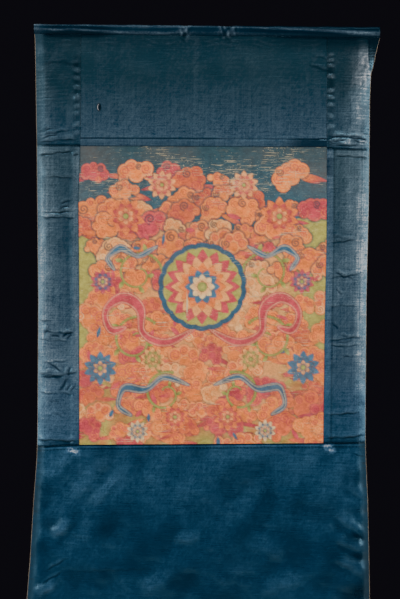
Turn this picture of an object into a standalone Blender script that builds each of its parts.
"""A hanging scroll painting: a painted canvas in a mount of blue silk, with a cotton lining.

The mount is cut and sewn from flat cloths. A narrow sleeve for a batten runs along the top. Under it come the
top panel with a strip on either side, a long panel on each side of the painting, and one wide bottom panel.
Every cloth is a closed sheet on a grid of rows and columns, with its hems, seam allowances, puckers and folds
worked out from the tables below.

Sizes are in metres. X runs to the right and Z up, and the painting faces -Y. The origin is the middle of the
top edge, where the hanging is held. Heights are given as a drop below it. How far a cloth stands forward is
measured from the lining's front.
"""

import bpy
import numpy as np

# Thicknesses of the cloths, and the gaps between them.
SILK = 0.0012
CANVAS = 0.0010
LINING = 0.0010
LAYER_GAP = 0.0005           # between cloths that lie on each other
SEAM_GAP = 0.0003            # between cloths that are sewn edge to edge
LINING_FRONT_Y = 0.0058

# Outlines, as a drop and the x of the edge there.
LEFT_EDGE = ((0.000, -0.4065), (0.034, -0.4040), (0.175, -0.4020), (0.281, -0.4000), (0.645, -0.3970),
             (0.974, -0.3995), (1.021, -0.4010), (1.115, -0.4080), (1.256, -0.4160), (1.348, -0.4230),
             (1.414, -0.4275))
RIGHT_EDGE = ((0.000, 0.4065), (0.028, 0.4060), (0.070, 0.3960), (0.100, 0.3900), (0.112, 0.3855),
              (0.175, 0.3830), (0.410, 0.3805), (0.645, 0.3750), (0.974, 0.3735), (1.009, 0.3740),
              (1.115, 0.3785), (1.256, 0.3810), (1.414, 0.3830))
LEFT_SEAM = ((0.000, -0.2970), (0.281, -0.2975), (0.410, -0.3020), (0.650, -0.3005), (0.990, -0.3010))
RIGHT_SEAM = ((0.000, 0.2830), (0.285, 0.2820), (0.504, 0.2810), (0.692, 0.2770), (0.984, 0.2740))

# Seams and edges that run across, as an x and the drop there.
SLEEVE_TOP = ((-0.4065, -0.0035), (0.4065, 0.0035))
SLEEVE_FOOT = ((-0.4065, 0.0188), (0.4065, 0.0282))
LINING_TOP = ((-0.4065, 0.0005), (0.4065, 0.0075))
WINDOW_TOP = ((-0.297, 0.2830), (0.283, 0.2855))
LEFT_JOIN = ((-0.400, 0.2810), (-0.297, 0.2825))
RIGHT_JOIN = ((0.282, 0.2890), (0.382, 0.2930))
BOTTOM_JOIN = ((-0.400, 0.9905), (-0.300, 0.9860), (0.274, 0.9820), (0.374, 0.9810))
LINING_FOOT = ((-0.430, 1.4095), (-0.060, 1.4125), (0.430, 1.4080))
HEM_FOOT = ((-0.430, 1.4120), (-0.060, 1.4150), (0.430, 1.4105))

# Hems and seam allowances: how wide the turned cloth is, and how far it lifts the silk.
HEM_WIDTH = 0.028
HEM_LIFT = 0.0008
HEM_START = (0.030, 0.090)   # the side hems grow to their full lift between these drops
ALLOWANCE = 0.018
ALLOWANCE_LIFT = CANVAS + LAYER_GAP
STEP = 0.0025                # the slope at the edge of a turned cloth
CANVAS_TUCK = 0.011          # the canvas under the silk round the painting
SLOPE_START = 0.012          # the silk below the painting slopes down off the canvas, from here
SLOPE_END = 0.030            # to here
LINING_PEEK = 0.0015         # the lining past the silk at the sides

# The sleeve, and its section from the seam up the back, over the top and down the front. Depths are measured
# forward from the sleeve's back and drops are shares of its height.
SLEEVE_SECTION = (           # outer depth, outer drop, inner depth, inner drop
    (0.0000, 1.00, 0.0012, 0.86),
    (0.0000, 0.60, 0.0012, 0.60),
    (0.0000, 0.22, 0.0012, 0.24),
    (0.0020, 0.05, 0.0029, 0.12),
    (0.0053, 0.00, 0.0053, 0.06),
    (0.0086, 0.05, 0.0078, 0.12),
    (0.0101, 0.18, 0.0088, 0.22),
    (0.0094, 0.33, 0.0082, 0.36),
    (0.0099, 0.50, 0.0085, 0.52),
    (0.0080, 0.72, 0.0066, 0.70),
    (0.0034, 0.92, 0.0026, 0.82),
    (0.0013, 1.00, 0.0016, 0.86),
)
SLEEVE_STATIONS = (-0.4065, -0.4005, -0.26, -0.16, 0.14, 0.26, 0.4005, 0.4065)
TOP_SHARE = 0.2              # the part of its height that counts as its top edge
TIE_SPOTS = (                # x, half length and depth of each nip worn into the top edge
    (-0.056, 0.016, 0.0010),
    (0.030, 0.024, 0.0013),
)

# How the whole hanging bends: its sides roll back, and it stands forward in slow waves down its length.
ROLL_WIDTH = 0.032
ROLL_BACK = 0.0050
DRAPE_START = (0.030, 0.130) # the bend grows to its full size between these drops
WAVES = (                    # drop of the crest, half height, rise
    (0.340, 0.26, 0.0040),
    (0.930, 0.36, -0.0060),
    (1.400, 0.30, 0.0070),
)

# Folds across the narrow cloths: the drop at the outer edge and at the seam, the share of the width where the
# fold starts and ends, counted from the outer edge, its rise and its half width.
TOP_LEFT_FOLDS = ((0.270, 0.264, 0.00, 0.95, 0.0016, 0.006),)
TOP_RIGHT_FOLDS = ((0.264, 0.257, 0.00, 1.00, 0.0024, 0.006), (0.281, 0.275, 0.15, 0.85, 0.0020, 0.007))
LEFT_FOLDS = (
    (0.300, 0.292, 0.00, 0.85, 0.0022, 0.006),
    (0.352, 0.354, 0.10, 1.00, 0.0012, 0.006),
    (0.437, 0.434, 0.10, 0.95, 0.0024, 0.005),
    (0.447, 0.450, 0.05, 0.95, 0.0020, 0.005),
    (0.690, 0.696, 0.00, 0.35, 0.0016, 0.006),
    (0.714, 0.722, 0.10, 0.95, 0.0024, 0.006),
    (0.734, 0.742, 0.00, 0.80, 0.0014, 0.006),
    (0.792, 0.782, 0.10, 0.80, 0.0018, 0.006),
    (0.826, 0.812, 0.05, 1.00, 0.0026, 0.007),
    (0.860, 0.864, 0.05, 0.90, 0.0018, 0.006),
    (0.972, 0.974, 0.00, 1.00, 0.0026, 0.006),
)
RIGHT_FOLDS = (
    (0.306, 0.304, 0.00, 0.85, 0.0022, 0.006),
    (0.500, 0.506, 0.25, 0.95, 0.0018, 0.006),
    (0.577, 0.592, 0.10, 0.90, 0.0024, 0.007),
    (0.655, 0.658, 0.15, 0.95, 0.0012, 0.006),
    (0.728, 0.738, 0.10, 0.90, 0.0024, 0.006),
    (0.748, 0.752, 0.15, 0.90, 0.0020, 0.005),
    (0.774, 0.776, 0.10, 0.50, 0.0016, 0.006),
    (0.908, 0.912, 0.10, 0.95, 0.0024, 0.006),
    (0.962, 0.968, 0.00, 0.95, 0.0026, 0.006),
)

# Puckers along the seam allowances of the top strips: drop, rise, half width.
LEFT_PUCKERS = ((0.084, 0.0006, 0.008), (0.104, 0.0016, 0.009), (0.123, 0.0014, 0.008),
                (0.144, 0.0017, 0.009), (0.168, 0.0020, 0.011), (0.189, 0.0014, 0.008),
                (0.206, 0.0012, 0.008), (0.232, 0.0019, 0.010), (0.252, 0.0013, 0.008))
RIGHT_PUCKERS = ((0.068, 0.0013, 0.006), (0.081, 0.0015, 0.006), (0.094, 0.0013, 0.006),
                 (0.119, 0.0020, 0.009), (0.152, 0.0018, 0.008), (0.168, 0.0019, 0.007),
                 (0.185, 0.0016, 0.007), (0.212, 0.0012, 0.009), (0.236, 0.0014, 0.009))
PUCKER_RISE_AT = 0.005       # they are full height from here, out of the seam
PUCKER_FALL_AT = 0.012       # to here
PUCKER_REACH = 0.020         # and run out here

FOLD_PAST = 0.02             # a fold starts and ends this share of the width past its table's shares
FOLD_TAPER = 0.15            # and reaches its full rise this share inside them

# The right hem's fold beside the top panel. Above the flap's end the hem's loose edge stands out past it.
RIGHT_FOLD = ((0.000, 0.3780), (0.075, 0.3785), (0.112, 0.3840), (0.175, 0.3815), (0.293, 0.3805))
FLAP_END = 0.112
FLAP_RISE = 0.0022
FLAP_RIDGE = 0.010           # half the width of the ridge along the fold

# Creases that run across the wide panels, and their soft swells: x, drop, half width, half height, rise.
TOP_CREASE = (0.262, 0.098, 0.030, 0.010, 0.0016)
BOTTOM_CREASE = (-0.190, 1.276, 0.130, 0.009, 0.0022)
TOP_SWELLS = ((-0.045, 0.182, 0.060, 0.010, 0.0010), (-0.150, 0.120, 0.080, 0.050, 0.0012),
              (0.120, 0.140, 0.090, 0.050, 0.0012))
BOTTOM_SWELLS = (
    (-0.339, 1.186, 0.030, 0.026, 0.0036),
    (-0.280, 1.090, 0.038, 0.048, 0.0022),
    (-0.136, 1.113, 0.048, 0.040, 0.0020),
    (-0.047, 1.211, 0.048, 0.022, 0.0030),
    (0.007, 1.101, 0.040, 0.028, 0.0018),
    (0.160, 1.242, 0.044, 0.026, 0.0022),
    (0.330, 1.169, 0.030, 0.026, 0.0036),
    (0.334, 1.262, 0.034, 0.020, 0.0032),
    (0.190, 1.318, 0.048, 0.028, 0.0026),
    (-0.118, 1.322, 0.056, 0.032, 0.0026),
    (-0.372, 1.323, 0.026, 0.024, 0.0026),
    (0.110, 1.060, 0.060, 0.030, 0.0016),
)

# The least that rows stand apart, and the most in each cloth.
LEAST_PITCH = 0.0015
STRIP_PITCH = 0.020
SIDE_PITCH = 0.040
PANEL_PITCH = 0.025
CANVAS_PITCH = 0.055
LINING_PITCH = 0.050

EDGE_COLUMN = 0.014          # the grid's first column in from an outer edge
SEAM_COLUMN = 0.006          # and in from a seam
SHARP_ANGLE = np.radians(40.0)

SILK_COLOUR = (0.030, 0.105, 0.180, 1.0)
SLEEVE_COLOUR = (0.020, 0.070, 0.115, 1.0)
CANVAS_COLOUR = (0.480, 0.190, 0.085, 1.0)
LINING_COLOUR = (0.420, 0.320, 0.230, 1.0)


def clear_scene():
    """Take every object out of the scene."""
    for thing in list(bpy.data.objects):
        bpy.data.objects.remove(thing, do_unlink=True)


def cloth_material(name, colour, roughness):
    """A plain cloth finish."""
    material = bpy.data.materials.new(name)
    material.use_nodes = True
    shader = material.node_tree.nodes["Principled BSDF"]
    shader.inputs["Base Color"].default_value = colour
    shader.inputs["Roughness"].default_value = roughness
    shader.inputs["Metallic"].default_value = 0.0
    return material


def along(table, place):
    """Read a table of (place, value) rows, straight between its rows."""
    places, values = zip(*table)
    return np.interp(place, places, values)


def smooth(start, end, value):
    """Go softly from 0 at start to 1 at end."""
    share = np.clip((value - start) / (end - start), 0.0, 1.0)
    return share * share * (3.0 - 2.0 * share)


def bump(centre, half_width, value):
    """A soft hump, 1 at its centre and 0 half a width away."""
    return np.cos(np.clip((value - centre) / half_width, -1.0, 1.0) * np.pi / 2.0) ** 2


# ---------------------------------------------------------------------------------------------------------
# How far forward each point of a cloth stands


def drape(x, drop):
    """The bend of the whole hanging: sides rolled back, slow waves, and none of it near the sleeve."""
    to_side = np.minimum(x - along(LEFT_EDGE, drop), along(RIGHT_EDGE, drop) - x)
    roll = ROLL_BACK * np.clip(1.0 - to_side / ROLL_WIDTH, 0.0, 1.2) ** 2
    waves = sum(rise * bump(crest, half, drop) for crest, half, rise in WAVES)
    return smooth(*DRAPE_START, drop) * (waves - roll)


def swells(table, x, drop):
    """Soft swells and creases of a wide panel."""
    return sum(rise * bump(cx, half_width, x) * bump(cd, half_height, drop)
               for cx, cd, half_width, half_height, rise in table)


def folds(table, share, drop):
    """Folds across a narrow cloth, each a hump along a slanting line. Share counts from the outer edge."""
    lift = 0.0
    for outer, inner, start, end, rise, half_width in table:
        begun = smooth(start - FOLD_PAST, start + FOLD_TAPER, share)
        ended = smooth(end - FOLD_TAPER, end + FOLD_PAST, share)
        lift = lift + rise * begun * (1.0 - ended) * bump(outer + (inner - outer) * share, half_width, drop)
    return lift


def turned_cloth(from_edge, width, lift):
    """The step over a hem or seam allowance that is turned under, this far in from its edge."""
    return lift * (1.0 - smooth(width - STEP / 2.0, width + STEP / 2.0, from_edge))


def puckers(table, from_seam, drop):
    """Short humps along a seam."""
    reach = smooth(0.0, PUCKER_RISE_AT, from_seam) * (1.0 - smooth(PUCKER_FALL_AT, PUCKER_REACH, from_seam))
    return reach * sum(rise * bump(centre, half_width, drop) for centre, rise, half_width in table)


def flap_ridge(from_fold, drop):
    """The ridge along the hem's fold where its loose edge stands out."""
    return FLAP_RISE * bump(0.0, FLAP_RIDGE, from_fold) * (1.0 - smooth(FLAP_END - 0.030, FLAP_END, drop))


def over_canvas_top(x, drop):
    """The seam allowance above the painting."""
    return turned_cloth(along(WINDOW_TOP, x) - drop, ALLOWANCE, ALLOWANCE_LIFT)


def over_canvas_foot(x, drop):
    """The silk slopes down off the canvas below the painting, and to either side of it."""
    beside = np.maximum(along(LEFT_SEAM, drop) - x, x - along(RIGHT_SEAM, drop))
    below = drop - along(BOTTOM_JOIN, x)
    off_beside, off_below = (smooth(SLOPE_START, SLOPE_END, away) for away in (beside, below))
    return ALLOWANCE_LIFT * (1.0 - off_below) * (1.0 - off_beside)


# ---------------------------------------------------------------------------------------------------------
# Rows, columns and closed solids


def place_columns(drop, left, right, columns):
    """The x of every grid point: a column is a share of the cloth's width and a shift from there."""
    shares, shifts = np.array(columns).T
    left_x = along(left, drop)
    return left_x + (along(right, drop) - left_x) * shares + shifts


def row_along(line, left, right, columns):
    """The drop, at each column, of a seam or edge that runs across."""
    drop = np.full(len(columns), line[0][1])
    for _ in range(4):
        drop = along(line, place_columns(drop, left, right, columns))
    return drop


def filled(rows, pitch):
    """Drop rows that nearly touch the one above, and add rows where two are further apart than the pitch."""
    result = [rows[0]]
    for row in rows[1:]:
        too_close = min(np.min(row - result[-1]), np.min(rows[-1] - row)) < LEAST_PITCH
        if too_close and row is not rows[-1]:
            continue
        start = result[-1]
        steps = int(np.ceil(np.max(row - start) / pitch))
        result += [start + (row - start) * step / steps for step in range(1, steps + 1)]
    return np.array(result)


def cut(sides, seams, columns, middle_rows, pitch):
    """Lay out a cloth between its left and right sides and its upper and lower seams."""
    first = row_along(seams[0], *sides, columns) + SEAM_GAP / 2.0
    last = row_along(seams[1], *sides, columns) - SEAM_GAP / 2.0
    drop = filled([first, *middle_rows, last], pitch)
    return place_columns(drop, *sides, columns), drop


def solid(name, points, faces, material):
    """Put a closed mesh into the scene, smooth but for its sharp edges."""
    mesh = bpy.data.meshes.new(name)
    mesh.from_pydata(points.tolist(), [], faces.tolist())
    mesh.materials.append(material)
    mesh.shade_smooth()
    mesh.set_sharp_from_angle(angle=SHARP_ANGLE)
    thing = bpy.data.objects.new(name, mesh)
    bpy.context.scene.collection.objects.link(thing)


def closed_sheet(name, x, drop, back, thickness, material):
    """Make a cloth from a grid of points, whose back stands this far forward of the lining's front."""
    layers = [np.stack([x, LINING_FRONT_Y - depth, -drop], axis=-1).reshape(-1, 3)
              for depth in (back + thickness, back)]
    front = np.arange(x.size).reshape(x.shape)
    behind = front + x.size
    front_faces = np.stack([front[:-1, :-1], front[1:, :-1], front[1:, 1:], front[:-1, 1:]], axis=-1)
    back_faces = np.stack([behind[:-1, :-1], behind[:-1, 1:], behind[1:, 1:], behind[1:, :-1]], axis=-1)
    rim = np.concatenate([front[:-1, 0], front[-1, :-1], front[:0:-1, -1], front[0, :0:-1]])
    ahead = np.roll(rim, -1)
    rim_faces = np.stack([ahead, rim, rim + x.size, ahead + x.size], axis=-1)
    faces = np.concatenate([front_faces.reshape(-1, 4), back_faces.reshape(-1, 4), rim_faces])
    solid(name, np.concatenate(layers), faces, material)


def tube_solid(name, outer, inner, material):
    """Close the wall between an outer and an inner ring of points carried along the same stations."""
    stations, around, _ = outer.shape
    out = np.arange(stations * around).reshape(stations, around)
    inn = out + stations * around
    out_turned = np.roll(out, -1, axis=1)
    inn_turned = np.roll(inn, -1, axis=1)
    walls = [np.stack([out[:-1], out_turned[:-1], out_turned[1:], out[1:]], axis=-1),
             np.stack([inn[:-1], inn[1:], inn_turned[1:], inn_turned[:-1]], axis=-1)]
    ends = [np.stack([out[0], inn[0], inn_turned[0], out_turned[0]], axis=-1),
            np.stack([out[-1], out_turned[-1], inn_turned[-1], inn[-1]], axis=-1)]
    faces = np.concatenate([part.reshape(-1, 4) for part in walls + ends])
    solid(name, np.concatenate([outer.reshape(-1, 3), inner.reshape(-1, 3)]), faces, material)


# ---------------------------------------------------------------------------------------------------------
# The pieces


def make_sleeve(material):
    """A flat tube along the top: the section is carried across, and nipped where ties have worn it."""
    nips = [spot + side * half for spot, half, _ in TIE_SPOTS for side in (-1.0, 0.0, 1.0)]
    x = np.sort([*SLEEVE_STATIONS, *nips])[:, None]
    top, foot = along(SLEEVE_TOP, x), along(SLEEVE_FOOT, x)
    nip = sum(depth * bump(spot, half, x) for spot, half, depth in TIE_SPOTS)
    outer_depth, outer_share, inner_depth, inner_share = np.array(SLEEVE_SECTION).T
    near_top = np.clip(1.0 - outer_share / TOP_SHARE, 0.0, 1.0)
    rings = []
    for depth, drop in ((outer_depth, top + (foot - top) * outer_share + nip * near_top),
                        (inner_depth, top + (foot - top) * inner_share)):
        y = np.broadcast_to(LINING_FRONT_Y - LAYER_GAP - depth, drop.shape)
        rings.append(np.stack([np.broadcast_to(x, drop.shape), y, -drop], axis=-1))
    tube_solid("batten_sleeve", *rings, material)


def make_lining(material):
    """The cotton back, from behind the sleeve to the hem, just wider than the silk."""
    left_columns = [(0.0, -LINING_PEEK), (0.0, EDGE_COLUMN), (0.0, ROLL_WIDTH)]
    columns = left_columns + [(share, 0.0) for share in np.linspace(0.10, 0.90, 11)]
    columns += [(1.0 - share, -shift) for share, shift in reversed(left_columns)]
    bends = sorted({drop for drop, _ in LEFT_EDGE + RIGHT_EDGE})[1:-1]
    rows = [np.full(len(columns), drop) for drop in bends]
    x, drop = cut((LEFT_EDGE, RIGHT_EDGE), (LINING_TOP, LINING_FOOT), columns, rows, LINING_PITCH)
    closed_sheet("lining", x, drop, drape(x, drop) - LINING, LINING, material)


def make_canvas(material):
    """The painted canvas, with its edges under the silk round it."""
    columns = [(0.0, -CANVAS_TUCK), *((share, 0.0) for share in np.linspace(0.0, 1.0, 11)),
               (1.0, CANVAS_TUCK)]
    seams = [[(x, drop + tuck) for x, drop in line]
             for line, tuck in ((WINDOW_TOP, -CANVAS_TUCK), (BOTTOM_JOIN, CANVAS_TUCK))]
    x, drop = cut((LEFT_SEAM, RIGHT_SEAM), seams, columns, [], CANVAS_PITCH)
    closed_sheet("painted_canvas", x, drop, drape(x, drop) + LAYER_GAP, CANVAS, material)


def narrow_columns(mirrored):
    """Outer edge, hem, middle, seam allowance and seam, counted from the left on either side."""
    columns = [(0.0, 0.0), (0.0, EDGE_COLUMN), (0.0, HEM_WIDTH - STEP / 2.0), (0.0, HEM_WIDTH + STEP / 2.0),
               (0.5, 0.0), (1.0, -ALLOWANCE - STEP / 2.0), (1.0, -ALLOWANCE + STEP / 2.0),
               (1.0, -SEAM_COLUMN), (1.0, -SEAM_GAP / 2.0)]
    return [(1.0 - share, -shift) for share, shift in reversed(columns)] if mirrored else columns


def narrow_lift(x, drop, fold, seam):
    """The drape, the turned hem along the outer fold and the raised seam allowance along the seam."""
    hem = turned_cloth(np.abs(x - along(fold, drop)), HEM_WIDTH, HEM_LIFT) * smooth(*HEM_START, drop)
    allowance = turned_cloth(np.abs(x - along(seam, drop)), ALLOWANCE, ALLOWANCE_LIFT)
    return drape(x, drop) + LAYER_GAP + hem + allowance


def outward_share(x, drop, edge, seam):
    """How far across a narrow cloth a point lies, from 0 at its outer edge to 1 at its seam."""
    return (x - along(edge, drop)) / (along(seam, drop) - along(edge, drop))


def fold_rows(table, sides, edge, columns):
    """Rows along the two feet and the crest of each fold."""
    seam = sides[0] if edge is sides[1] else sides[1]
    rows = []
    for outer, inner, _, _, _, half_width in table:
        share = outward_share(place_columns(outer, *sides, columns), outer, edge, seam)
        crest = outer + (inner - outer) * share
        rows += [crest - half_width, crest, crest + half_width]
    return rows


def make_side_panel(name, edge, seam, join, fold_table, mirrored, material):
    """A long silk strip beside the painting, with rows along the feet and the crest of each fold."""
    columns = narrow_columns(mirrored)
    sides = (seam, edge) if mirrored else (edge, seam)
    rows = fold_rows(fold_table, sides, edge, columns)
    x, drop = cut(sides, (join, BOTTOM_JOIN), columns, rows, SIDE_PITCH)
    lift = narrow_lift(x, drop, edge, seam) + folds(fold_table, outward_share(x, drop, edge, seam), drop)
    closed_sheet(name, x, drop, lift, SILK, material)


def make_top_strip(name, fold, seam, join, pucker_table, fold_table, mirrored, material):
    """A silk strip beside the top panel, with a row on each pucker and between two."""
    columns = narrow_columns(mirrored)
    sides = (seam, fold) if mirrored else (fold, seam)
    peaks = [drop for drop, _, _ in pucker_table]
    valleys = [(above + below) / 2.0 for above, below in zip(peaks, peaks[1:])]
    rows = [np.full(len(columns), drop) for drop in sorted(peaks + valleys)]
    rows += fold_rows(fold_table, sides, fold, columns)
    x, drop = cut(sides, (SLEEVE_FOOT, join), columns, rows, STRIP_PITCH)
    if mirrored:
        drop = np.concatenate([drop, drop[:, -1:]], axis=1)
        drop[0, -1] = along(SLEEVE_FOOT, RIGHT_EDGE[0][1]) + SEAM_GAP / 2.0
        x = np.concatenate([x, along(RIGHT_EDGE, drop[:, -1:])], axis=1)
    lift = narrow_lift(x, drop, fold, seam) + puckers(pucker_table, np.abs(x - along(seam, drop)), drop)
    lift = lift + folds(fold_table, outward_share(x, drop, fold, seam), drop)
    if mirrored:
        lift = lift + flap_ridge(x - along(fold, drop), drop)
    closed_sheet(name, x, drop, lift, SILK, material)


def crease_rows(crease, columns):
    """Rows along the two feet and the crest of a crease that runs across a wide panel."""
    _, drop, _, half_height, _ = crease
    return [np.full(len(columns), drop + side * half_height) for side in (-1.0, 0.0, 1.0)]


def make_top_panel(material):
    """The silk above the painting, between the two puckered seams."""
    columns = [(0.0, SEAM_GAP / 2.0), *((share, 0.0) for share in np.linspace(0.06, 0.94, 15)),
               (1.0, -SEAM_GAP / 2.0)]
    foot = row_along(WINDOW_TOP, LEFT_SEAM, RIGHT_SEAM, columns)
    rows = crease_rows(TOP_CREASE, columns) + [foot - ALLOWANCE - STEP / 2.0, foot - ALLOWANCE + STEP / 2.0]
    x, drop = cut((LEFT_SEAM, RIGHT_SEAM), (SLEEVE_FOOT, WINDOW_TOP), columns, rows, PANEL_PITCH)
    lift = drape(x, drop) + LAYER_GAP + swells((TOP_CREASE, *TOP_SWELLS), x, drop) + over_canvas_top(x, drop)
    closed_sheet("top_panel", x, drop, lift, SILK, material)


def make_bottom_panel(material):
    """The wide silk below the painting, down to its hem."""
    left_columns = [(0.0, 0.0), (0.0, EDGE_COLUMN), (0.0, HEM_WIDTH - STEP / 2.0),
                    (0.0, HEM_WIDTH + STEP / 2.0)]
    columns = left_columns + [(share, 0.0) for share in np.linspace(0.070, 0.930, 25)]
    columns += [(1.0 - share, -shift) for share, shift in reversed(left_columns)]
    sides = (LEFT_EDGE, RIGHT_EDGE)
    join = row_along(BOTTOM_JOIN, *sides, columns)
    foot = row_along(HEM_FOOT, *sides, columns)
    rows = [join + SLOPE_START, join + SLOPE_END, *crease_rows(BOTTOM_CREASE, columns),
            foot - HEM_WIDTH - STEP / 2.0, foot - HEM_WIDTH + STEP / 2.0]
    x, drop = cut(sides, (BOTTOM_JOIN, HEM_FOOT), columns, rows, PANEL_PITCH)
    from_side = np.minimum(x - along(LEFT_EDGE, drop), along(RIGHT_EDGE, drop) - x)
    hem = turned_cloth(np.minimum(from_side, along(HEM_FOOT, x) - drop), HEM_WIDTH, HEM_LIFT)
    lift = drape(x, drop) + LAYER_GAP + hem + over_canvas_foot(x, drop)
    lift = lift + swells((BOTTOM_CREASE, *BOTTOM_SWELLS), x, drop)
    closed_sheet("bottom_panel", x, drop, lift, SILK, material)


def main():
    clear_scene()
    silk = cloth_material("silk", SILK_COLOUR, 0.45)
    make_sleeve(cloth_material("sleeve_silk", SLEEVE_COLOUR, 0.50))
    make_lining(cloth_material("cotton", LINING_COLOUR, 0.90))
    make_canvas(cloth_material("canvas", CANVAS_COLOUR, 0.85))
    make_top_panel(silk)
    make_top_strip("top_left_strip", LEFT_EDGE, LEFT_SEAM, LEFT_JOIN, LEFT_PUCKERS, TOP_LEFT_FOLDS,
                   False, silk)
    make_top_strip("top_right_strip", RIGHT_FOLD, RIGHT_SEAM, RIGHT_JOIN, RIGHT_PUCKERS, TOP_RIGHT_FOLDS,
                   True, silk)
    make_side_panel("left_panel", LEFT_EDGE, LEFT_SEAM, LEFT_JOIN, LEFT_FOLDS, False, silk)
    make_side_panel("right_panel", RIGHT_EDGE, RIGHT_SEAM, RIGHT_JOIN, RIGHT_FOLDS, True, silk)
    make_bottom_panel(silk)


main()
